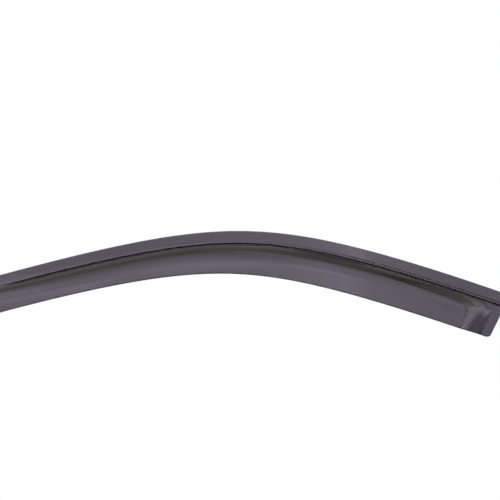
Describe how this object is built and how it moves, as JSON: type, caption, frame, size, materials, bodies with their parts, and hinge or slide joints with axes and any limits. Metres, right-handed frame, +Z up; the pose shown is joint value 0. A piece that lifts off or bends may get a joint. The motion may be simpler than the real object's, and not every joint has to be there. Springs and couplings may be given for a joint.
{
  "type": "window rain deflector",
  "caption": "Long bowed smoked-acrylic strip that sticks over a car door's window frame and keeps rain out of the open window.",
  "frame": {"origin": "on the back of the fixing flange, midway across its bonding band, at the middle of the bend", "axes": "as mounted on a left front door: +X to the rear of the car, +Z up, -Y outboard; the flange leans 22 degrees inboard at the top, with the glass"},
  "size_m": [0.9994, 0.1046, 0.3423],
  "materials": {
    "smoked_acrylic": "polished, dark smoke tint, see-through"
  },
  "bodies": {
    "root": {"deflector": "smoked_acrylic"}
  },
  "joints": []
}
